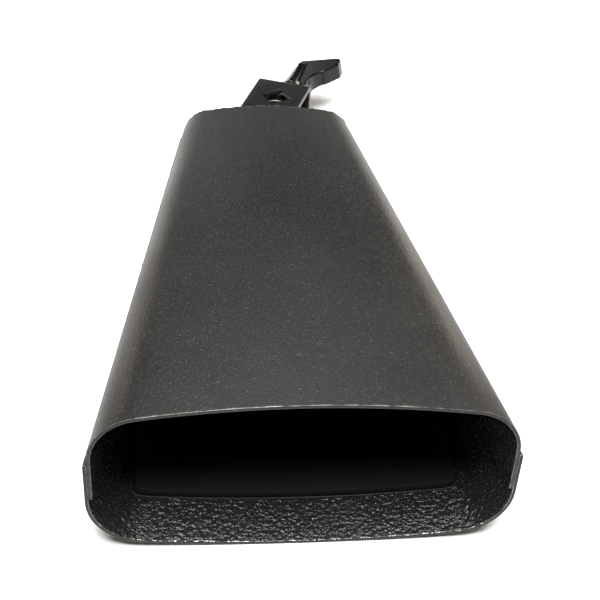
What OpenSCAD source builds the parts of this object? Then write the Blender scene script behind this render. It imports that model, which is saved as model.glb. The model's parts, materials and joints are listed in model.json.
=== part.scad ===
// Mountable cowbell, lying on its back. Two folded steel plates lap at the sides and a flat
// plate closes the narrow end. A strap bracket is welded to that plate. Inside the strap an
// eye bolt, drawn up by a wing lever, clamps the bell on a mounting rod.
// World frame: origin under the middle of the whole object, +Z up.
// Bell frame: +Y from the middle of the mouth to the closed end, +Z out of the front face.

/* [Bell] */
// Length from the mouth to the closed end
bell_l = 203; // [150:1:260]
// Outer width at the mouth
mouth_w = 140; // [110:1:170]
// Outer depth at the mouth
mouth_d = 62; // [50:0.5:80]
// Outer width at the closed end
end_w = 76; // [62:1:100]
// Outer depth at the closed end
end_d = 43.5; // [36:0.5:56]
// Outer radius of the side bends at the mouth
mouth_bend = 19.5; // [14:0.5:22]
// Outer radius of the side bends at the closed end
end_bend = 13.5; // [10:0.5:16]
// How far the front face bulges at the mouth
front_crown = 3.6; // [1:0.1:6]
// How far the back face bulges at the mouth
back_crown = 2.3; // [1:0.1:6]
// How far both faces bulge at the closed end
end_crown = 2; // [1:0.1:4]
// Thickness of the sheet steel
sheet_t = 1.3; // [0.8:0.1:2]
// Distance from a flange's edge to where the other plate's bend starts
lap_margin = 1.5; // [0.5:0.1:3]

/* [Closed end] */
// Thickness of the flat end plate
plate_t = 1.6; // [1:0.1:3]
// Distance from the plate's edge in from the outside of the plates it lies on
plate_inset = 0.8; // [0.5:0.1:1]
// Length of each stitch weld along the side laps
stitch_l = 12; // [6:1:16]
// Distance from one stitch weld to the next
stitch_pitch = 46; // [30:1:70]

/* [Bracket] */
// Width of the strap
strap_w = 25; // [20:0.5:30]
// Depth over the strap's two legs
strap_d = 17; // [14:0.5:24]
// Height of the strap along its middle
strap_h = 51.5; // [42:0.5:64]
// Thickness of the strap
strap_t = 2.5; // [2:0.1:4]
// Outer radius of the strap's two bends
strap_bend = 3.5; // [3.2:0.1:5]
// Angle at which the strap leans sideways
lean = 20.5; // [0:0.5:28]
// Sideways place of the strap's foot on the plate
foot_x = -5.5; // [-10:0.5:10]
// Distance from the strap's top down to the middle of the square holes
hole_drop = 17; // [15:0.5:22]
// Leg length of the fillet welds at the feet
foot_weld = 3; // [2:0.5:4]

/* [Rod clamp] */
// Diameter of the mounting rod that the clamp holds
rod_d = 9.5; // [8:0.1:10]
// Clearance across the flats of the square holes
square_clear = 0.8; // [0.4:0.1:1.2]
// Radial clearance of the eye round the rod
eye_clear = 0.25; // [0.1:0.05:0.5]
// Wall of the eye round its bore
eye_wall = 3.6; // [3:0.1:4.5]
// Thickness of the eye along the rod
eye_w = 7; // [5:0.5:8]
// Diameter of the bolt's shank
bolt_d = 6.4; // [5:0.1:7]
// Length of the bolt above the strap, inside the lever's hub
bolt_up = 10; // [8:0.5:13]
// How far the bolt rises when the lever is turned fully home
bolt_travel = 3.175; // [1:0.005:4]
// Radial clearance of the bolt in the strap and the washer
bolt_clear = 0.3; // [0.2:0.05:0.5]
// Radial running clearance of the thread in the lever
thread_clear = 0.05; // [0.02:0.01:0.1]
// Outer diameter of the plain washer
washer_d = 13; // [11:0.5:15]
// Thickness of the plain washer
washer_t = 1.6; // [1:0.1:2.5]

/* [Lever] */
// Radius of the flange at the hub's foot
flange_r = 6; // [5.5:0.1:7]
// Height of the flange
flange_h = 3; // [2:0.5:5]
// Radius of the tapered hub at its foot and at its top
hub_r = 5; // [4.8:0.1:6]
hub_top_r = 3.8; // [3.6:0.1:4.6]
// Height of the hub with its flange
hub_h = 23.5; // [20:0.5:26]
// Gap between the loose hub and the washer
hub_gap = 0.1; // [0.1:0.05:0.5]
// Reach of the wing's foot from the bolt
foot_reach = 8; // [7:0.5:10]
// Radius of the hollow curve under the wing
hollow_r = 12.5; // [11:0.5:14]
// Height above the strap at which the hollow curve starts
hollow_low = 10; // [8:0.5:12]
// Reach and height of the wing's lower edge where the hollow curve ends
heel_reach = 13; // [11:0.5:15]
heel_high = 21.5; // [20:0.5:23]
// Reach of the wing's tip
reach = 17.3; // [15:0.1:22]
// Height of the tip's lower and upper corners above the strap
tip_low = 27; // [25:0.5:28]
tip_high = 30.5; // [29:0.5:34]
// Height of the wing's upper corner over the hub
root_high = 28.5; // [26:0.5:30]
// Thickness of the metal wing
wing_t = 4.6; // [2.5:0.1:5]
// Radius of the metal wing's corners
wing_corner = 1.5; // [1:0.1:2]
// Thickness of the dipped grip round the wing
grip_t = 1.4; // [0.8:0.1:1.6]
// Gap between the grip and the metal
grip_gap = 0.05; // [0.02:0.01:0.1]
// Place of the dip line beside the bolt, at the strap, towards the wing
dip_foot = 2.3; // [-2:0.1:4]
// Angle of the dip line to the bolt
dip_tilt = 5; // [0:0.5:12]
// Angle of the wing round the bolt, from the strap's width towards the front face
wing_angle = 12; // [0:1:90]

/* [Damper] */
// Thickness of the foam strip
pad_t = 3; // [2:0.5:6]
// Depth of the foam strip, into the bell
pad_depth = 28; // [18:1:40]
// Distance from the mouth to the foam strip
pad_in = 18; // [10:1:40]
// Distance from each end of the strip to the side wall
pad_side = 11; // [10:0.5:20]
// Thickness of the adhesive tape under the foam
tape_t = 0.5; // [0.3:0.1:1]
// Gap on each side of the tape, to the curved sheet and to the foam
tape_gap = 0.12; // [0.1:0.01:0.2]

/* [Hidden] */
$fn = 64;
// Segments along a face's crown and round a side bend
face_n = 20;
bend_n = 10;
// Smallest inner radius of the strap's two bends
inner_bend = 0.5;
// Extra length of a cutting tool past the face it cuts
cut = 1;

// Slope of the back face, which lies flat on the ground
tilt = atan((mouth_d - end_d) / 2 / bell_l);
plate_top = bell_l + plate_t;

square_side = rod_d + square_clear;
eye_bore_r = rod_d / 2 + eye_clear;
eye_r = eye_bore_r + eye_wall;
bolt_r = bolt_d / 2;
lever_foot = washer_t + hub_gap;
grip_skin = grip_gap + grip_t;

// World +Y per millimetre along the wing, out of its upper face and up the bolt
along_y = sin(wing_angle) * sin(tilt) - cos(wing_angle) * sin(lean) * cos(tilt);
out_y = cos(wing_angle) * sin(tilt) + sin(wing_angle) * sin(lean) * cos(tilt);
up_y = cos(lean) * cos(tilt);
// Farthest place of the lever along the bell, on its wing's upper corner over the hub, and
// nearest place of the mouth
far_y = plate_top * cos(tilt) + (strap_h + root_high) * up_y
    + (wing_t / 2 + grip_skin) * out_y + (wing_corner + grip_skin) * norm([along_y, up_y]);
near_y = -mouth_d / 2 * sin(tilt);
// Place of the mouth's middle that centres the whole object over the origin
mouth_y = -(far_y + near_y) / 2;
mouth_z = mouth_d / 2 * cos(tilt);

// ---- Frames

module bell_frame() {
    translate([0, mouth_y, mouth_z]) rotate([-tilt, 0, 0]) children();
}

// Foot of the strap on the plate: +Y up the strap, +X across it, +Z out of the front face
module strap_frame() {
    bell_frame() translate([foot_x, plate_top, 0]) rotate([0, 0, -lean]) children();
}

// Top of the strap: +Z along the bolt, away from the bell
module bolt_frame() {
    strap_frame() translate([0, strap_h, 0]) rotate([-90, 0, 0]) children();
}

// The lever's own frame: +X along the wing
module lever_frame() {
    bolt_frame() rotate([0, 0, -wing_angle]) children();
}

// ---- Bell outline: a crowned face that runs tangent into a bend at each side

function mix(a, b, k) = a + (b - a) * k;
function half_w(k) = mix(mouth_w, end_w, k) / 2;
function half_d(k) = mix(mouth_d, end_d, k) / 2;
function bend(k) = mix(mouth_bend, end_bend, k);
// Radius of a face whose flat width bulges by the crown c
function face_r(k, c) = (pow(half_w(k) - bend(k), 2) + c * c) / (2 * c);
// Angle from the face's middle to where its bend starts
function face_angle(k, c, r, w) = asin((w - r) / (face_r(k, c) - r));
function bend_z(k, c, r, w) =
    half_d(k) - face_r(k, c) + (face_r(k, c) - r) * cos(face_angle(k, c, r, w));

// Right half of one plate's outline, from the edge of its flange to the middle of its face,
// at the share k of the bell's length; side is its half width and off its depth in the sheet
function half_outline(k, c, side, edge_z, off) = let (
    r = bend(k) - (half_w(k) - side),
    a = face_angle(k, c, r, side),
    R = face_r(k, c),
    cx = side - r,
    cz = bend_z(k, c, r, side)
) concat(
    [[side - off, edge_z]],
    [for (i = [0:bend_n]) let (t = mix(90, a, i / bend_n))
        [cx + (r - off) * sin(t), cz + (r - off) * cos(t)]],
    [for (i = [1:face_n]) let (t = a * (1 - i / face_n))
        [(R - off) * sin(t), half_d(k) - R + (R - off) * cos(t)]]
);

function mirrored(half) = [for (i = [len(half) - 2:-1:0]) [-half[i][0], half[i][1]]];
function flipped(points) = [for (p = points) [p[0], -p[1]]];
function reversed(points) = [for (i = [len(points) - 1:-1:0]) points[i]];

// Closed section of a plate's sheet: its outside from flange to flange, and its inside back
function sheet_section(k, c, side, edge_z) = let (
    outer = half_outline(k, c, side, edge_z, 0),
    inner = half_outline(k, c, side, edge_z, sheet_t)
) concat(outer, mirrored(outer), reversed(concat(inner, mirrored(inner))));

// The back plate's flanges lie outside the front plate's
function front_side(k) = half_w(k) - sheet_t;
function front_c(k) = mix(front_crown, end_crown, k);
function back_c(k) = mix(back_crown, end_crown, k);
// Free edges of the two plates' flanges, short of each other's bends
function front_edge(k) = -bend_z(k, back_c(k), bend(k), half_w(k)) + lap_margin;
function back_edge(k) =
    bend_z(k, front_c(k), bend(k) - sheet_t, front_side(k)) - lap_margin;

function front_section(k) = sheet_section(k, front_c(k), front_side(k), front_edge(k));
function back_section(k) =
    reversed(flipped(sheet_section(k, back_c(k), half_w(k), -back_edge(k))));

// Solid between two ribbon sections, at two places on +Y. A ribbon lists one long edge and
// then the other one backwards, so point i lies across from the i-th point from the end.
module loft(a, b, ya, yb) {
    n = len(a);
    polyhedron(
        points = concat([for (p = a) [p[0], ya, p[1]]], [for (p = b) [p[0], yb, p[1]]]),
        faces = concat(
            [for (i = [0:n / 2 - 2]) [n - 1 - i, n - 2 - i, i + 1, i]],
            [for (i = [0:n / 2 - 2]) [n + i, n + i + 1, 2 * n - 2 - i, 2 * n - 1 - i]],
            [for (i = [0:n - 1]) [i, (i + 1) % n, n + (i + 1) % n]],
            [for (i = [0:n - 1]) [i, n + (i + 1) % n, n + i]]
        ),
        convexity = 6
    );
}

// ---- Bell

module front_shell() {
    color("#33302e") bell_frame() loft(front_section(0), front_section(1), 0, bell_l);
}

module back_shell() {
    color("#2f2c2a") bell_frame() loft(back_section(0), back_section(1), 0, bell_l);
}

// Outline of both plates at the closed end, set in from their outsides
module end_outline(inset) {
    front = half_outline(1, front_c(1), front_side(1), back_edge(1), inset);
    back = half_outline(1, back_c(1), half_w(1), -back_edge(1), inset);
    polygon(concat(front, mirrored(front), reversed(flipped(concat(back, mirrored(back))))));
}

// Extrusion along +Y of a shape drawn across the bell
module across(y, h) {
    translate([0, y + h, 0]) rotate([90, 0, 0]) linear_extrude(h) children();
}

module end_plate() {
    color("#2f2c2a") bell_frame() across(bell_l, plate_t) end_outline(plate_inset);
}

// Weld round the plate's edge, in two steps that stand for its rounded bead
module end_weld() {
    low_h = plate_t * 0.55;
    step = plate_inset * 0.4;
    color("#3a3633") bell_frame() for (s = [[0, low_h, 0.05], [low_h, plate_t - low_h, step]])
        across(bell_l + s[0], s[1]) difference() {
            end_outline(s[2]);
            end_outline(plate_inset);
        }
}

// Section of a stitch weld in the step between a flange's edge and the plate under it
function stitch_section(k, sx) = let (
    x = front_side(k),
    z = back_edge(k),
    leg = sheet_t * 0.95,
    points = [[x, z], [x + leg, z], [x + leg * 0.7, z + leg * 0.7], [x, z + leg]]
) sx > 0 ? points : [for (p = reversed(points)) [-p[0], p[1]]];

module seam_welds() {
    count = floor((bell_l - stitch_l - 2 * lap_margin) / stitch_pitch);
    first = (bell_l - count * stitch_pitch) / 2;
    color("#3a3633") bell_frame() for (i = [0:count], sx = [-1, 1]) {
        y0 = first + i * stitch_pitch - stitch_l / 2;
        y1 = y0 + stitch_l;
        loft(stitch_section(y0 / bell_l, sx), stitch_section(y1 / bell_l, sx), y0, y1);
    }
}

// ---- Bracket

// Upside-down U, d wide and h high, with rounded shoulders; its feet run on below zero
module arch(d, h, r) {
    foot = strap_w * tan(lean);
    translate([-d / 2, -foot]) square([d, h + foot - r]);
    translate([-d / 2 + r, -foot]) square([d - 2 * r, h + foot]);
    for (sx = [-1, 1]) translate([sx * (d / 2 - r), h - r]) circle(r);
}

module mount_bracket() {
    reach_out = strap_h + strap_w;
    color("#3b3938") difference() {
        intersection() {
            strap_frame() rotate([0, 90, 0]) linear_extrude(strap_w, center = true)
                difference() {
                    arch(strap_d, strap_h, strap_bend);
                    arch(strap_d - 2 * strap_t, strap_h - strap_t,
                         max(strap_bend - strap_t, inner_bend));
                }
            bell_frame() translate([-reach_out, plate_top, -strap_d])
                cube([2 * reach_out, reach_out, 2 * strap_d]);
        }
        strap_frame() translate([0, strap_h - hole_drop, 0]) rotate([0, 0, 45])
            cube([square_side, square_side, strap_d + 2 * cut], center = true);
        bolt_frame() translate([0, 0, -strap_t - cut])
            cylinder(r = bolt_r + bolt_clear, h = strap_t + 2 * cut);
    }
}

// Fillet welds along the outer face of both feet
module bracket_welds() {
    foot_w = strap_w / cos(lean) - 2 * foot_weld * tan(lean);
    color("#3a3633") bell_frame() for (sz = [-1, 1])
        translate([foot_x - foot_w / 2 + foot_weld * tan(lean) / 2, plate_top, sz * strap_d / 2])
            rotate([90, 0, 90]) linear_extrude(foot_w)
                polygon([[0, 0], [foot_weld, 0], [0, sz * foot_weld]]);
}

// ---- Rod clamp

module eye_bolt() {
    eye_y = strap_h - hole_drop;
    color("#8e8b86") difference() {
        union() {
            strap_frame() translate([0, eye_y, 0])
                cylinder(r = eye_r, h = eye_w, center = true);
            bolt_frame() translate([0, 0, -hole_drop])
                cylinder(r = bolt_r, h = hole_drop + bolt_up);
        }
        strap_frame() translate([0, eye_y, 0])
            cylinder(r = eye_bore_r, h = eye_w + 2 * cut, center = true);
    }
}

module flat_washer() {
    color("silver") bolt_frame() difference() {
        cylinder(r = washer_d / 2, h = washer_t);
        translate([0, 0, -cut]) cylinder(r = bolt_r + bolt_clear, h = washer_t + 2 * cut);
    }
}

// ---- Lever

// Convex outline with a round corner of radius r about each point, given counterclockwise
function rounded(corners, r) = let (n = len(corners)) [
    for (i = [0:n - 1]) let (
        into = corners[i] - corners[(i + n - 1) % n],
        away = corners[(i + 1) % n] - corners[i],
        a0 = atan2(into[1], into[0]) - 90,
        turn = (atan2(away[1], away[0]) - 90 - a0 + 720) % 360
    ) for (j = [0:6]) corners[i] + r * [cos(a0 + turn * j / 6), sin(a0 + turn * j / 6)]
];

// Flat wing in the plane of the bolt, grown by a skin on all sides but its foot. It rises
// outwards, and a hollow curve sweeps from its foot up to its heel.
module wing(skin) {
    corners = [[0, heel_high - wing_corner], [heel_reach, heel_high], [reach, tip_low],
               [reach, tip_high], [0, root_high]];
    rotate([90, 0, 0]) linear_extrude(wing_t + 2 * skin, center = true) {
        polygon(rounded(corners, wing_corner + skin));
        difference() {
            translate([0, lever_foot]) square([heel_reach, heel_high - lever_foot]);
            translate([foot_reach + hollow_r, hollow_low]) circle(hollow_r - skin);
            translate([foot_reach + skin, lever_foot - cut])
                square([heel_reach, hollow_low - lever_foot + cut]);
        }
    }
}

// Flange, hub and wing in one piece, grown by a skin on all sides but the foot
module lever_body(skin) {
    translate([0, 0, lever_foot]) cylinder(r = flange_r + skin, h = flange_h + skin);
    translate([0, 0, lever_foot])
        cylinder(r1 = hub_r + skin, r2 = hub_top_r + skin, h = hub_h + skin);
    wing(skin);
}

module clamp_lever() {
    color("silver") lever_frame() difference() {
        lever_body(0);
        translate([0, 0, lever_foot - cut])
            cylinder(r = bolt_r + thread_clear,
                     h = bolt_up + bolt_travel + 2 * cut - lever_foot);
    }
}

// Sleeve dipped over the wing and the side of the hub, up to a straight line that leans over
// the hub's top
module lever_grip() {
    grip_foot = lever_foot + grip_t / 2;
    block = 4 * hub_h;
    color("#141414") lever_frame() intersection() {
        difference() {
            lever_body(grip_skin);
            lever_body(grip_gap);
        }
        translate([-block / 2, -block / 2, grip_foot]) cube(block);
        translate([dip_foot, 0, 0]) rotate([0, -dip_tilt, 0])
            translate([0, -block / 2, -block / 2]) cube(block);
    }
}

// ---- Damper

// Back plate's inside from end to end of the strip, at the height off in from its outside
function strip_line(k, half, off) = let (
    c = back_c(k),
    r = bend(k),
    a = face_angle(k, c, r, half_w(k)),
    R = face_r(k, c),
    cx = half_w(k) - r,
    cz = bend_z(k, c, r, half_w(k)),
    end_a = asin((half - cx) / (r - off)),
    right = concat(
        [for (i = [bend_n:-1:1]) let (t = mix(a, end_a, i / bend_n))
            [cx + (r - off) * sin(t), -cz - (r - off) * cos(t)]],
        [for (i = [face_n:-1:0]) let (t = a * i / face_n)
            [(R - off) * sin(t), -half_d(k) + R - (R - off) * cos(t)]])
) concat(right, mirrored(right));

// Strip on the inside of the back plate, between two heights in from the plate's outside
module strip(low, high) {
    half = half_w(pad_in / bell_l) - sheet_t - pad_side;
    k0 = pad_in / bell_l;
    k1 = (pad_in + pad_depth) / bell_l;
    bell_frame() loft(
        concat(strip_line(k0, half, high), reversed(strip_line(k0, half, low))),
        concat(strip_line(k1, half, high), reversed(strip_line(k1, half, low))),
        pad_in, pad_in + pad_depth);
}

module pad_tape() {
    color("#55524f") strip(sheet_t + tape_gap, sheet_t + tape_gap + tape_t);
}

module damper_pad() {
    base = sheet_t + tape_t + 2 * tape_gap;
    color("#1c1c1c") strip(base, base + pad_t);
}

front_shell();
back_shell();
end_plate();
seam_welds();
end_weld();
mount_bracket();
bracket_welds();
eye_bolt();
flat_washer();
clamp_lever();
lever_grip();
damper_pad();
pad_tape();
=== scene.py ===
import json
from math import atan2, cos, radians, sin

import bpy
from mathutils import Matrix, Vector


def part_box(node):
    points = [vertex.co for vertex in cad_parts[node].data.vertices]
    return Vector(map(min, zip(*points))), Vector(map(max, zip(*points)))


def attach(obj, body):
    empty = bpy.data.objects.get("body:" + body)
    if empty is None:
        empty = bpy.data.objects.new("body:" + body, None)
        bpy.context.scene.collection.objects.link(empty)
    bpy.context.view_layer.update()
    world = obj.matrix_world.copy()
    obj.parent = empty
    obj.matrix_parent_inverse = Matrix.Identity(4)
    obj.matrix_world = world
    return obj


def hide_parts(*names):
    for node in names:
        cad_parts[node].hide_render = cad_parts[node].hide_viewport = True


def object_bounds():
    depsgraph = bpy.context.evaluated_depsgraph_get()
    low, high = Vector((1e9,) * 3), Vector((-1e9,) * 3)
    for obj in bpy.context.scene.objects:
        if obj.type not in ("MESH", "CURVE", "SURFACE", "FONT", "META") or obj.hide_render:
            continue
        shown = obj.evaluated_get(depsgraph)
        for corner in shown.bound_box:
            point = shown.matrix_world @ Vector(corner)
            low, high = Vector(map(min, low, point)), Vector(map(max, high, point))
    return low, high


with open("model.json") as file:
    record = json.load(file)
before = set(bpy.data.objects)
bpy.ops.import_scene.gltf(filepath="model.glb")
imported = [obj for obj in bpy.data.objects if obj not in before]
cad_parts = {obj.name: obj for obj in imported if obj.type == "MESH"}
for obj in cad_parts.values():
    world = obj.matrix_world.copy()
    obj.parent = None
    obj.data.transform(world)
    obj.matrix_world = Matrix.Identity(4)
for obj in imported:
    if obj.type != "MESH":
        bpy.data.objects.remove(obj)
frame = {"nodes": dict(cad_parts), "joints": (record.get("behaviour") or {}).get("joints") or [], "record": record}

cad_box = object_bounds()


# ---- Camera
# It stands in front of the mouth at arm's length and looks down into it, a little from the
# left, so that the bell's narrow end runs away from it.
MM = 0.001
CAMERA_BEFORE_MOUTH = 261.9 * MM
CAMERA_SIDE = -39.5 * MM
CAMERA_HEIGHT = 328.5 * MM
CAMERA_YAW = 7.30
CAMERA_PITCH = 40.07
CAMERA_ROLL = 4.05
LENS = 74.5
NEAREST_SEEN = 10 * MM

bpy.ops.object.camera_add()
camera = bpy.context.active_object
camera.name = "camera"
camera.data.lens = LENS
camera.data.clip_start = NEAREST_SEEN
camera.matrix_world = (
    Matrix.Translation((CAMERA_SIDE, cad_box[0].y - CAMERA_BEFORE_MOUTH, CAMERA_HEIGHT))
    @ Matrix.Rotation(radians(-CAMERA_YAW), 4, "Z")
    @ Matrix.Rotation(radians(90 - CAMERA_PITCH), 4, "X")
    @ Matrix.Rotation(radians(CAMERA_ROLL), 4, "Z")
)
bpy.context.scene.camera = camera
bpy.context.scene.view_settings.view_transform = "Standard"


# ---- Floor and light
# Matt white studio paper lies under the bell. A big soft box hangs over the mouth's side with a
# small one before it, and a third hangs behind. Two low warm boxes at the back draw highlights
# down the folded sides, and a small card stands behind the lever for its chrome.
PAPER = "#f2f1ef"
PAPER_ROUGH = 0.9
AIR = "#d9dde0"
AIR_STRENGTH = 0.05
FLOOR_SIZE = 6.0
SOFT_BOXES = {
    "overhead": dict(at=(0.0, -0.35, 1.6), size=(1.6, 1.0), watts=54, tint="#ffffff"),
    "mouth_light": dict(at=(-0.1, -0.85, 1.7), size=(0.5, 0.4), watts=20, tint="#ffffff"),
    "back_top": dict(at=(0.05, 0.85, 1.45), size=(0.6, 0.3), watts=5, tint="#ffffff"),
    "left_back": dict(at=(-0.9, 0.95, 0.34), size=(0.3, 0.45), watts=3, tint="#fff0dc"),
    "right_back": dict(at=(0.9, 1.0, 0.34), size=(0.3, 0.45), watts=5, tint="#fff0dc"),
    "chrome_card": dict(at=(-0.2, 1.25, 0.3), size=(0.35, 0.35), watts=0.4, tint="#ffffff"),
}


def linear(hex_colour):
    """An sRGB hex colour as the linear RGBA that the shaders use."""
    channels = [int(hex_colour[i:i + 2], 16) / 255 for i in (1, 3, 5)]
    return [c / 12.92 if c <= 0.04045 else ((c + 0.055) / 1.055) ** 2.4 for c in channels] + [1]


def add(tree, kind, inputs, **properties):
    """A shader node of that kind, with its properties set and its inputs set or linked."""
    made = tree.nodes.new("ShaderNode" + kind)
    for name, value in properties.items():
        setattr(made, name, value)
    for name, value in inputs.items():
        if isinstance(value, bpy.types.NodeSocket):
            tree.links.new(value, made.inputs[name])
        else:
            made.inputs[name].default_value = value
    return made


def new_material(name):
    """An empty node material, its tree and its object coordinates."""
    material = bpy.data.materials.new(name)
    material.use_nodes = True
    tree = material.node_tree
    tree.nodes.clear()
    return material, tree, add(tree, "TexCoord", {}).outputs["Object"]


def finish_material(tree, inputs):
    """The principled shader with these inputs, wired to the output."""
    shader = add(tree, "BsdfPrincipled", inputs)
    add(tree, "OutputMaterial", {"Surface": shader.outputs["BSDF"]})


bpy.ops.mesh.primitive_plane_add(size=FLOOR_SIZE)
floor = bpy.context.active_object
floor.name = "floor"
# Studio paper is uncoated and calendered only lightly, so it scatters light evenly and shows
# no reflection of the bell.
paper, paper_tree, _ = new_material("studio_paper")
finish_material(paper_tree, {"Base Color": linear(PAPER), "Roughness": PAPER_ROUGH})
floor.data.materials.append(paper)

for name, box in SOFT_BOXES.items():
    bpy.ops.object.light_add(type="AREA", location=box["at"])
    light = bpy.context.active_object
    light.name = name
    light.data.shape = "RECTANGLE"
    light.data.size, light.data.size_y = box["size"]
    light.data.energy = box["watts"]
    light.data.color = linear(box["tint"])[:3]
    light.rotation_euler = (-Vector(box["at"])).to_track_quat("-Z", "Y").to_euler()

world = bpy.data.worlds.new("studio_air")
world.use_nodes = True
world.node_tree.nodes["Background"].inputs["Color"].default_value = linear(AIR)
world.node_tree.nodes["Background"].inputs["Strength"].default_value = AIR_STRENGTH
bpy.context.scene.world = world


# ---- Front plate
# One half of the bell: 1.3 mm sheet steel, crowned and folded down at both sides. It was
# powder coated after welding, so the coat runs over the seams and into the mouth.
COAT_DARK = "#141414"
COAT_LIGHT = "#1e1e1d"
# The pale fleck colour is a painted glint of the grain, laid into the coat's colour.
COAT_GLINT_FLECK = "#4a4844"
COAT_IOR = 1.5
COAT_SHINE = 0.3
GLINT_FLECK_SHARE = (0.6, 0.78)
PATCH = 35 * MM
PATCH_SHARE = (0.3, 0.7)
PATCH_GLOSS = (-0.04, 0.05)
WORN_EDGE = "#7d7a75"
WEAR_DEPTH = 1.1 * MM
WEAR_BREAK = 3.2 * MM
WEAR_SHARE = (0.28, 0.5)
CORNER_FACING = (0.97, 0.85)
OUTER_FINISH = dict(grain=0.75 * MM, peel=2.6 * MM, grain_depth=0.2 * MM,
                    peel_depth=0.05 * MM, roughness=0.43)
INNER_FINISH = dict(grain=0.7 * MM, peel=1.5 * MM, grain_depth=0.1 * MM,
                    peel_depth=0.75 * MM, roughness=0.15)
MERGE_GAP = 0.002 * MM
SHARP_ANGLE = radians(40)
SHEET_ROUND = 0.35 * MM
QUAD_TILT = radians(60)
QUAD_SHAPE = radians(180)
RIM_FACING = 0.5

clamp = next(j for j in frame["joints"] if j["name"] == "lever_turn")
bolt_axis = -Vector(clamp["axis"])
tilt = atan2(-bolt_axis.z, bolt_axis.y)
bell_axis = Vector((0, cos(tilt), -sin(tilt)))
plate_mesh = frame["nodes"]["front_shell"].data
mouth_at = min(v.co.dot(bell_axis) for v in plate_mesh.vertices)
bell_middle = (Vector(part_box("front_shell")[0]) + Vector(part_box("back_shell")[1])) / 2


def coat_material(name, grain, peel, grain_depth, peel_depth, roughness, worn=False):
    """Textured black powder coat over steel, with its grain and its orange peel in metres."""
    material, tree, place = new_material(name)
    patch = add(tree, "TexNoise", {"Vector": place, "Scale": 1 / PATCH, "Detail": 3})
    speck = add(tree, "TexNoise", {"Vector": place, "Scale": 1 / grain, "Detail": 2})
    bumps = add(tree, "TexNoise", {"Vector": place, "Scale": 1 / peel, "Detail": 2})
    # Pale flecks where the grain noise is high: painted glints in the coat's colour.
    glint_fleck = add(tree, "MapRange", {"Value": speck.outputs["Fac"],
                                   "From Min": GLINT_FLECK_SHARE[0], "From Max": GLINT_FLECK_SHARE[1]})
    body = add(tree, "Mix", {0: patch.outputs["Fac"], 6: linear(COAT_DARK),
                             7: linear(COAT_LIGHT)}, data_type="RGBA")
    colour = add(tree, "Mix", {0: glint_fleck.outputs["Result"], 6: body.outputs[2],
                               7: linear(COAT_GLINT_FLECK)}, data_type="RGBA")
    gloss = add(tree, "MapRange", {"Value": patch.outputs["Fac"],
                                   "From Min": PATCH_SHARE[0], "From Max": PATCH_SHARE[1],
                                   "To Min": roughness + PATCH_GLOSS[0],
                                   "To Max": roughness + PATCH_GLOSS[1]})
    peeled = add(tree, "Bump", {"Height": bumps.outputs["Fac"], "Distance": peel_depth})
    grained = add(tree, "Bump", {"Height": speck.outputs["Fac"], "Distance": grain_depth,
                                 "Normal": peeled.outputs["Normal"]})
    inputs = {"Base Color": colour.outputs[2], "Roughness": gloss.outputs["Result"],
              "Normal": grained.outputs["Normal"], "IOR": COAT_IOR,
              "Specular IOR Level": COAT_SHINE}
    if worn:
        along = add(tree, "VectorMath", {0: place, 1: bell_axis}, operation="DOT_PRODUCT")
        near = add(tree, "MapRange", {"Value": along.outputs["Value"], "From Min": mouth_at,
                                      "From Max": mouth_at + WEAR_DEPTH, "To Min": 1,
                                      "To Max": 0})
        way = add(tree, "NewGeometry", {}).outputs["Normal"]
        facing = add(tree, "VectorMath", {0: way, 1: -bell_axis}, operation="DOT_PRODUCT")
        corner = add(tree, "MapRange", {"Value": facing.outputs["Value"],
                                        "From Min": CORNER_FACING[0],
                                        "From Max": CORNER_FACING[1]})
        broken = add(tree, "TexNoise", {"Vector": place, "Scale": 1 / WEAR_BREAK, "Detail": 4})
        edge = add(tree, "Math", {0: near.outputs["Result"], 1: corner.outputs["Result"]},
                   operation="MULTIPLY")
        rubbed = add(tree, "Math", {0: edge.outputs["Value"], 1: broken.outputs["Fac"]},
                     operation="MULTIPLY")
        bare = add(tree, "MapRange", {"Value": rubbed.outputs["Value"],
                                      "From Min": WEAR_SHARE[0], "From Max": WEAR_SHARE[1]})
        worn_colour = add(tree, "Mix", {0: bare.outputs["Result"], 6: colour.outputs[2],
                                        7: linear(WORN_EDGE)}, data_type="RGBA")
        inputs["Base Color"] = worn_colour.outputs[2]
        inputs["Metallic"] = bare.outputs["Result"]
    finish_material(tree, inputs)
    return material


def select_only(piece):
    """Leaves this piece as the only selected object, and the active one."""
    bpy.ops.object.select_all(action="DESELECT")
    piece.select_set(True)
    bpy.context.view_layer.objects.active = piece


def copy_of(node, name):
    """A merged copy of a CAD node's mesh, as a piece of its own."""
    mesh = frame["nodes"][node].data.copy()
    mesh.materials.clear()
    piece = bpy.data.objects.new(name, mesh)
    bpy.context.scene.collection.objects.link(piece)
    select_only(piece)
    bpy.ops.mesh.customdata_custom_splitnormals_clear()
    bpy.ops.object.mode_set(mode="EDIT")
    bpy.ops.mesh.select_all(action="SELECT")
    bpy.ops.mesh.remove_doubles(threshold=MERGE_GAP)
    bpy.ops.mesh.normals_make_consistent(inside=False)
    bpy.ops.object.mode_set(mode="OBJECT")
    return piece


def round_edges(piece, width, steps=2):
    """Breaks a piece's sharp edges with a bevel and shades it smooth."""
    select_only(piece)
    bpy.ops.object.mode_set(mode="EDIT")
    bpy.ops.mesh.select_mode(type="EDGE")
    bpy.ops.mesh.select_all(action="DESELECT")
    bpy.ops.mesh.edges_select_sharp(sharpness=SHARP_ANGLE)
    bpy.ops.mesh.bevel(offset=width, segments=steps, affect="EDGES")
    bpy.ops.mesh.select_all(action="DESELECT")
    bpy.ops.object.mode_set(mode="OBJECT")
    bpy.ops.object.shade_smooth_by_angle(angle=SHARP_ANGLE)


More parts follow.
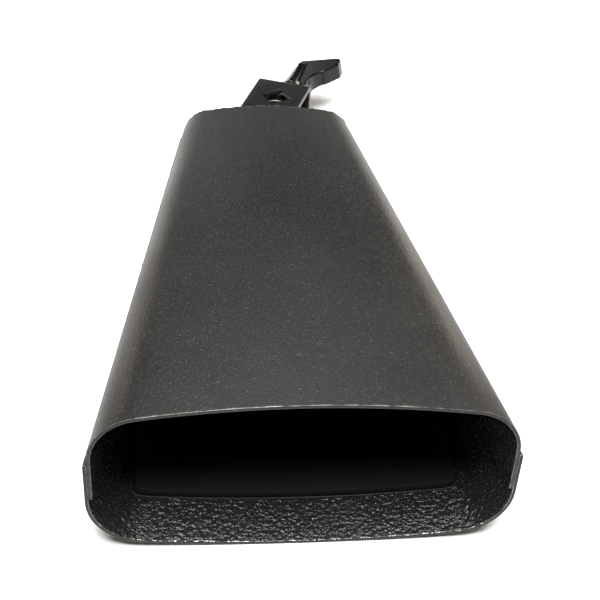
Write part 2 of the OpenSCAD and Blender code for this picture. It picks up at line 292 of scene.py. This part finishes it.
def formed_plate(node, name):
    """One of the two folded plates, in quads, with broken edges and its inside apart."""
    plate = copy_of(node, name)
    bpy.ops.object.mode_set(mode="EDIT")
    bpy.ops.mesh.select_all(action="SELECT")
    bpy.ops.mesh.tris_convert_to_quads(face_threshold=QUAD_TILT, shape_threshold=QUAD_SHAPE)
    bpy.ops.object.mode_set(mode="OBJECT")
    round_edges(plate, SHEET_ROUND)
    plate.data.materials.append(outside_coat)
    plate.data.materials.append(inside_coat)
    for face in plate.data.polygons:
        inwards = bell_middle - face.center
        inwards -= bell_axis * inwards.dot(bell_axis)
        face.material_index = int(face.normal.dot(inwards) > 0
                                  and abs(face.normal.dot(bell_axis)) < RIM_FACING)
    return plate


# Textured powder, sprayed on and baked, draws up into a fine grain as it sets. It gives a soft,
# speckled sheen, and its mouth edge is rubbed through to bare steel. Its pale flecks are painted glints.
outside_coat = coat_material("textured_powder_coat", worn=True, **OUTER_FINISH)

# Inside, more powder collects and flows in the oven. It sets glossy and deeply dimpled, so it
# breaks the light into many small glints.
inside_coat = coat_material("heavy_powder_coat", worn=True, **INNER_FINISH)

front_plate = formed_plate("front_shell", "front_plate")
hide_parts("front_shell")
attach(front_plate, "bell")


# ---- Back plate
# The other half, folded up at both sides. Its flanges lap over the outside of the front
# plate's, and its flat back lies on the ground.
back_plate = formed_plate("back_shell", "back_plate")
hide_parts("back_shell")
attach(back_plate, "bell")


# ---- End plate
# Flat 1.6 mm plate that closes the narrow end. It lies on the rims of both folded plates and
# carries the bracket.
END_ROUND = 0.2 * MM

end_cap = copy_of("end_plate", "end_cap")
round_edges(end_cap, END_ROUND)
end_cap.data.materials.append(outside_coat)
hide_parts("end_plate")
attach(end_cap, "bell")


# ---- Welds
# Beads of weld steel: stitches along the laps, one bead round the end plate, and a fillet at
# each foot of the bracket. They were left as laid, lumpy and uneven, and coated over.
BEAD_CELL = 0.25 * MM
BEAD_RIPPLE = 1.6 * MM
BEAD_LEVEL = 0.62
BEAD_RELAX = 0.5
BEAD_PASSES = 4
SEAM_LUMP = 0.9 * MM
FOOT_LUMP = 1.3 * MM
WELD_FINISH = dict(grain=0.7 * MM, peel=1.5 * MM, grain_depth=0.08 * MM,
                   peel_depth=0.2 * MM, roughness=0.36)

# The powder is thinner over the beads than on the plates and follows each ripple, so they
# shine a little more and show the weld's lumps.
weld_coat = coat_material("coated_weld_steel", **WELD_FINISH)


def apply_modifier(piece, kind, **settings):
    """Adds one modifier with these settings and applies it."""
    select_only(piece)
    modifier = piece.modifiers.new(kind.lower(), kind)
    for name, value in settings.items():
        setattr(modifier, name, value)
    bpy.ops.object.modifier_apply(modifier=modifier.name)


def weld_bead(node, name, lump):
    """A weld made lumpy and round, as a set bead. Its lumps sink more than they swell."""
    bead = copy_of(node, name)
    apply_modifier(bead, "REMESH", mode="VOXEL", voxel_size=BEAD_CELL)
    ripple = bpy.data.textures.new(name + "_ripple", "CLOUDS")
    ripple.noise_scale = BEAD_RIPPLE
    ripple.noise_depth = 2
    apply_modifier(bead, "SMOOTH", factor=BEAD_RELAX, iterations=BEAD_PASSES)
    apply_modifier(bead, "DISPLACE", texture=ripple, strength=lump, mid_level=BEAD_LEVEL)
    apply_modifier(bead, "SMOOTH", factor=BEAD_RELAX, iterations=1)
    bpy.ops.object.shade_smooth()
    bead.data.materials.append(weld_coat)
    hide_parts(node)
    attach(bead, "bell")


weld_bead("seam_welds", "lap_stitches", SEAM_LUMP)
weld_bead("end_weld", "end_bead", SEAM_LUMP)
weld_bead("bracket_welds", "foot_fillets", FOOT_LUMP)


# ---- Bracket
# Strap steel, 25 by 2.5 mm, bent to a U and welded to the end plate by its feet. Square
# holes stand on their corners in both legs; the rod is drawn up into their top corners.
STRAP_ROUND = 0.35 * MM
STRAP_FLAT = radians(2)
STRAP_FINISH = dict(grain=0.6 * MM, peel=2.2 * MM, grain_depth=0.02 * MM,
                    peel_depth=0.03 * MM, roughness=0.34)

# The rolled strap is smooth under its powder, so the coat lies level and has an even satin
# sheen.
bracket_coat = coat_material("satin_powder_coat", **STRAP_FINISH)
bracket = copy_of("mount_bracket", "bracket")
bpy.ops.object.mode_set(mode="EDIT")
bpy.ops.mesh.select_all(action="SELECT")
bpy.ops.mesh.dissolve_limited(angle_limit=STRAP_FLAT)
bpy.ops.object.mode_set(mode="OBJECT")
round_edges(bracket, STRAP_ROUND, steps=3)
bracket.data.materials.append(bracket_coat)
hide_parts("mount_bracket")
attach(bracket, "bell")


# ---- Eye bolt
# Forged steel bolt, zinc plated: a thick eye that the mounting rod passes through, and a
# 1/4 inch shank whose thread of 20 turns to the inch the lever draws up.
EYE_ROUND = 1.6 * MM
BORE_ROUND = 0.5 * MM
PITCH = 1.27 * MM
THREAD_DEPTH = 0.65 * MM
THREAD_FLANK = 0.4
THREAD_LAND = 0.1
THREAD_ANGLE = radians(32)
NECK = 3.0 * MM
SHANK_SUNK = 1.5 * MM
SHANK_END = 1 * MM
SHANK_SIDES = 32
EYE_SIDES = 64
FACE_UP = 0.9
LEVEL_SLACK = 0.01 * MM
RIM_SLACK = 0.2 * MM
ZINC_DARK = "#565350"
ZINC_LIGHT = "#827e77"
ZINC_CRYSTAL = 1.4 * MM
ZINC_PIT = 0.02 * MM
ZINC_ROUGH = (0.28, 0.5)

eye_mount = next(m for m in frame["record"]["mounts"] if m["name"] == "rod_eye")
eye_middle = Vector(eye_mount["pos_m"])
rod_axis = Vector(eye_mount["axis"])
bore_r = eye_mount["dims"]["r_mm"] * MM
eye_width = eye_mount["dims"]["length_mm"] * MM


def bolt_measures():
    """The eye's radius, the shank's radius and its end, from the CAD bolt's own points."""
    points = [v.co - eye_middle for v in frame["nodes"]["eye_bolt"].data.vertices]
    up = max(p.dot(bolt_axis) for p in points)
    eye = -min(p.dot(bolt_axis) for p in points)
    shank = max((p - bolt_axis * p.dot(bolt_axis)).length
                for p in points if p.dot(bolt_axis) > up - SHANK_END)
    return eye, shank, up


eye_r, shank_r, shank_end = bolt_measures()


def upright(axis):
    """Rotation that turns +Z onto this axis, as Euler angles."""
    return axis.to_track_quat("Z", "Y").to_euler()


def place_mesh(piece):
    """Puts a piece's place and turn into its mesh, so that its object is at the origin."""
    select_only(piece)
    bpy.ops.object.transform_apply(location=True, rotation=True, scale=True)


bpy.ops.object.select_all(action="DESELECT")
bpy.ops.mesh.primitive_cylinder_add(vertices=EYE_SIDES, radius=eye_r, depth=eye_width,
                                    location=eye_middle, rotation=upright(rod_axis))
eye = bpy.context.active_object
eye.name = "eye_and_shank"
bpy.ops.object.mode_set(mode="EDIT")
bpy.ops.mesh.select_mode(type="FACE")
bpy.ops.mesh.select_all(action="DESELECT")
bpy.ops.object.mode_set(mode="OBJECT")
for face in eye.data.polygons:
    face.select = abs(face.normal.z) > FACE_UP
bpy.ops.object.mode_set(mode="EDIT")
bpy.ops.mesh.inset(thickness=eye_r - bore_r, use_individual=True)
bpy.ops.mesh.bridge_edge_loops()
bpy.ops.mesh.select_mode(type="EDGE")
bpy.ops.mesh.select_all(action="DESELECT")
bpy.ops.object.mode_set(mode="OBJECT")


def select_rims(piece, radius):
    """Selects the edges that run round at this distance from the piece's own Z axis."""
    points = piece.data.vertices
    for edge in piece.data.edges:
        a, b = (points[i].co for i in edge.vertices)
        flat = abs(a.z - b.z) < LEVEL_SLACK
        edge.select = flat and all(abs(p.xy.length - radius) < RIM_SLACK for p in (a, b))


for rim, width in ((eye_r, EYE_ROUND), (bore_r, BORE_ROUND)):
    select_rims(eye, rim)
    bpy.ops.object.mode_set(mode="EDIT")
    bpy.ops.mesh.bevel(offset=width, segments=4, affect="EDGES")
    bpy.ops.mesh.select_all(action="DESELECT")
    bpy.ops.object.mode_set(mode="OBJECT")
place_mesh(eye)

shank_foot = eye_r - SHANK_SUNK
neck_end = eye_r + NECK
bpy.ops.object.select_all(action="DESELECT")
bpy.ops.mesh.primitive_circle_add(vertices=SHANK_SIDES, radius=shank_r, fill_type="NGON",
                                  location=eye_middle + bolt_axis * shank_foot,
                                  rotation=upright(bolt_axis))
shank = bpy.context.active_object
shank.name = "threaded_shank"
bpy.ops.object.mode_set(mode="EDIT")
bpy.ops.mesh.select_all(action="SELECT")


def selected_middle(piece):
    """Middle of a piece's selected points, in the shared frame."""
    piece.update_from_editmode()
    chosen = [piece.matrix_world @ v.co for v in piece.data.vertices if v.select]
    return sum(chosen, Vector()) / len(chosen)


def draw_up(height, radius_ratio):
    """Extrudes the shank's end by a height and scales the new ring about the bolt's axis."""
    bpy.ops.mesh.extrude_region_move(TRANSFORM_OT_translate={"value": bolt_axis * height})
    bpy.ops.transform.resize(value=(radius_ratio,) * 3,
                             center_override=selected_middle(shank))


root_ratio = (shank_r - THREAD_DEPTH) / shank_r
draw_up(neck_end - shank_foot, 1)
for turn in range(int((shank_end - neck_end) / PITCH)):
    draw_up(PITCH * THREAD_FLANK, root_ratio)
    draw_up(PITCH * THREAD_LAND, 1)
    draw_up(PITCH * THREAD_FLANK, 1 / root_ratio)
    draw_up(PITCH * THREAD_LAND, 1)
draw_up(PITCH * THREAD_FLANK, root_ratio)
bpy.ops.mesh.select_all(action="SELECT")
bpy.ops.mesh.normals_make_consistent(inside=False)
bpy.ops.object.mode_set(mode="OBJECT")
place_mesh(shank)
apply_modifier(eye, "BOOLEAN", operation="UNION", object=shank, solver="EXACT")
bpy.data.objects.remove(shank)
select_only(eye)
bpy.ops.object.shade_smooth_by_angle(angle=THREAD_ANGLE)

# Zinc is laid on in a plating bath as fine crystals, then dulls in the air. It gives a soft grey
# metal sheen with small cloudy patches.
zinc, zinc_tree, zinc_place = new_material("bright_zinc_plate")
crystals = add(zinc_tree, "TexNoise", {"Vector": zinc_place, "Scale": 1 / ZINC_CRYSTAL,
                                       "Detail": 5})
tarnish = add(zinc_tree, "Mix", {0: crystals.outputs["Fac"], 6: linear(ZINC_DARK),
                                 7: linear(ZINC_LIGHT)}, data_type="RGBA")
dulled = add(zinc_tree, "MapRange", {"Value": crystals.outputs["Fac"],
                                     "To Min": ZINC_ROUGH[0], "To Max": ZINC_ROUGH[1]})
pitted = add(zinc_tree, "Bump", {"Height": crystals.outputs["Fac"], "Distance": ZINC_PIT})
finish_material(zinc_tree, {"Base Color": tarnish.outputs[2], "Metallic": 1,
                            "Roughness": dulled.outputs["Result"],
                            "Normal": pitted.outputs["Normal"]})
eye.data.materials.append(zinc)
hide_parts("eye_bolt")
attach(eye, "bolt")


# ---- Washer
# Plain washer stamped from sheet steel, with the same zinc plate as the bolt. It lies loose
# between the strap and the lever's hub.
WASHER_ROUND = 0.25 * MM

washer = copy_of("flat_washer", "washer")
round_edges(washer, WASHER_ROUND)
washer.data.materials.append(zinc)
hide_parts("flat_washer")
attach(washer, "bell")


# ---- Lever
# Cast steel lever with a tall threaded hub and one flat wing, polished and plated with
# chrome before the wing was dipped.
CHROME = "#d9d9d8"
CHROME_HAZE = 5 * MM
CHROME_WAVE = 0.03 * MM
CHROME_ROUGH = (0.06, 0.2)
LEVER_ROUND = 0.35 * MM

# The casting was buffed before it was plated, so the chrome mirrors the lights, a little wavy
# and with a light haze from handling.
chrome, chrome_tree, chrome_place = new_material("polished_chrome_plate")
haze = add(chrome_tree, "TexNoise", {"Vector": chrome_place, "Scale": 1 / CHROME_HAZE,
                                     "Detail": 4})
smeared = add(chrome_tree, "MapRange", {"Value": haze.outputs["Fac"],
                                        "To Min": CHROME_ROUGH[0], "To Max": CHROME_ROUGH[1]})
waves = add(chrome_tree, "Bump", {"Height": haze.outputs["Fac"], "Distance": CHROME_WAVE})
finish_material(chrome_tree, {"Base Color": linear(CHROME), "Metallic": 1,
                              "Roughness": smeared.outputs["Result"],
                              "Normal": waves.outputs["Normal"]})
lever = copy_of("clamp_lever", "lever")
round_edges(lever, LEVER_ROUND, steps=3)
lever.data.materials.append(chrome)
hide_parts("clamp_lever")
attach(lever, "lever")


# ---- Grip
# Vinyl sleeve made by dipping the warm lever in liquid plastisol. It set glossy, rounded
# every edge, and ends in a straight line along the hub.
GRIP_CELL = 0.32 * MM
GRIP_RELAX = 0.5
GRIP_PASSES = 12
VINYL_DARK = "#040404"
VINYL_LIGHT = "#0c0c0c"
VINYL_IOR = 1.53
VINYL_SHINE = 0.3
VINYL_ROUGH = (0.16, 0.34)
VINYL_RUN = 6 * MM
RUN_DEPTH = 0.06 * MM
DUST_SPECK = 0.5 * MM

# The plastisol flowed as it set, so its skin is smooth and glossy with slight runs. Fine dust on
# it breaks the highlight.
vinyl, vinyl_tree, vinyl_place = new_material("dipped_vinyl")
flow = add(vinyl_tree, "TexNoise", {"Vector": vinyl_place, "Scale": 1 / VINYL_RUN, "Detail": 2})
dust = add(vinyl_tree, "TexNoise", {"Vector": vinyl_place, "Scale": 1 / DUST_SPECK,
                                    "Detail": 3})
sheen = add(vinyl_tree, "MapRange", {"Value": dust.outputs["Fac"], "To Min": VINYL_ROUGH[0],
                                     "To Max": VINYL_ROUGH[1]})
runs = add(vinyl_tree, "Bump", {"Height": flow.outputs["Fac"], "Distance": RUN_DEPTH})
skin = add(vinyl_tree, "Mix", {0: dust.outputs["Fac"], 6: linear(VINYL_DARK),
                               7: linear(VINYL_LIGHT)}, data_type="RGBA")
finish_material(vinyl_tree, {"Base Color": skin.outputs[2], "IOR": VINYL_IOR,
                             "Specular IOR Level": VINYL_SHINE,
                             "Roughness": sheen.outputs["Result"],
                             "Normal": runs.outputs["Normal"]})
grip = copy_of("lever_grip", "grip")
apply_modifier(grip, "REMESH", mode="VOXEL", voxel_size=GRIP_CELL)
apply_modifier(grip, "SMOOTH", factor=GRIP_RELAX, iterations=GRIP_PASSES)
bpy.ops.object.shade_smooth()
grip.data.materials.append(vinyl)
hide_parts("lever_grip")
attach(grip, "lever")


# ---- Damper
# Strip of closed-cell foam, knife-cut, that quietens the bell. It is stuck across the inside
# of the back plate, just in from the mouth, and takes that plate's curve.
FOAM_CELL = 0.5 * MM
FOAM_RELAX = 0.5
FOAM_PASSES = 5
FOAM_SWELL = 12 * MM
SWELL_HEIGHT = 0.25 * MM
SWELL_LEVEL = 0.5
FOAM_DARK = "#0a0a0a"
FOAM_LIGHT = "#121212"
FOAM_FADE = 9 * MM
FOAM_IOR = 1.45
FOAM_SHINE = 0.2
FOAM_ROUGH = 0.85
PORE = 0.6 * MM
PORE_DEPTH = 0.05 * MM

# The knife opened the foam's cells, so its skin is a mass of tiny pits that swallow the light,
# dull and nearly black.
foam, foam_tree, foam_place = new_material("closed_cell_foam")
cells = add(foam_tree, "TexVoronoi", {"Vector": foam_place, "Scale": 1 / PORE})
dents = add(foam_tree, "TexNoise", {"Vector": foam_place, "Scale": 1 / FOAM_FADE, "Detail": 3})
faded = add(foam_tree, "Mix", {0: dents.outputs["Fac"], 6: linear(FOAM_DARK),
                               7: linear(FOAM_LIGHT)}, data_type="RGBA")
pores = add(foam_tree, "Bump", {"Height": cells.outputs["Distance"], "Distance": PORE_DEPTH})
finish_material(foam_tree, {"Base Color": faded.outputs[2], "Roughness": FOAM_ROUGH,
                            "IOR": FOAM_IOR, "Specular IOR Level": FOAM_SHINE,
                            "Normal": pores.outputs["Normal"]})
pad = copy_of("damper_pad", "foam_strip")
apply_modifier(pad, "REMESH", mode="VOXEL", voxel_size=FOAM_CELL)
apply_modifier(pad, "SMOOTH", factor=FOAM_RELAX, iterations=FOAM_PASSES)
softness = bpy.data.textures.new("foam_dents", "CLOUDS")
softness.noise_scale = FOAM_SWELL
apply_modifier(pad, "DISPLACE", texture=softness, strength=SWELL_HEIGHT,
               mid_level=SWELL_LEVEL)
bpy.ops.object.shade_smooth()
pad.data.materials.append(foam)
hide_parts("damper_pad")
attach(pad, "bell")


# ---- Tape
# Double-sided tape, half a millimetre of grey acrylic foam. It came on the strip's back and
# holds it to the steel.
TAPE_DARK = "#1b1a19"
TAPE_LIGHT = "#2b2a28"
TAPE_MOTTLE = 0.8 * MM
TAPE_ROUGH = 0.6
TAPE_ROUND = 0.08 * MM

# The tape was slit from a cast sheet, so its cut edge is matt and finely mottled.
tape_skin, tape_tree, tape_place = new_material("acrylic_tape")
mottle = add(tape_tree, "TexNoise", {"Vector": tape_place, "Scale": 1 / TAPE_MOTTLE,
                                     "Detail": 3})
grey = add(tape_tree, "Mix", {0: mottle.outputs["Fac"], 6: linear(TAPE_DARK),
                              7: linear(TAPE_LIGHT)}, data_type="RGBA")
finish_material(tape_tree, {"Base Color": grey.outputs[2], "Roughness": TAPE_ROUGH})
tape = copy_of("pad_tape", "tape")
round_edges(tape, TAPE_ROUND)
tape.data.materials.append(tape_skin)
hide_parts("pad_tape")
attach(tape, "bell")
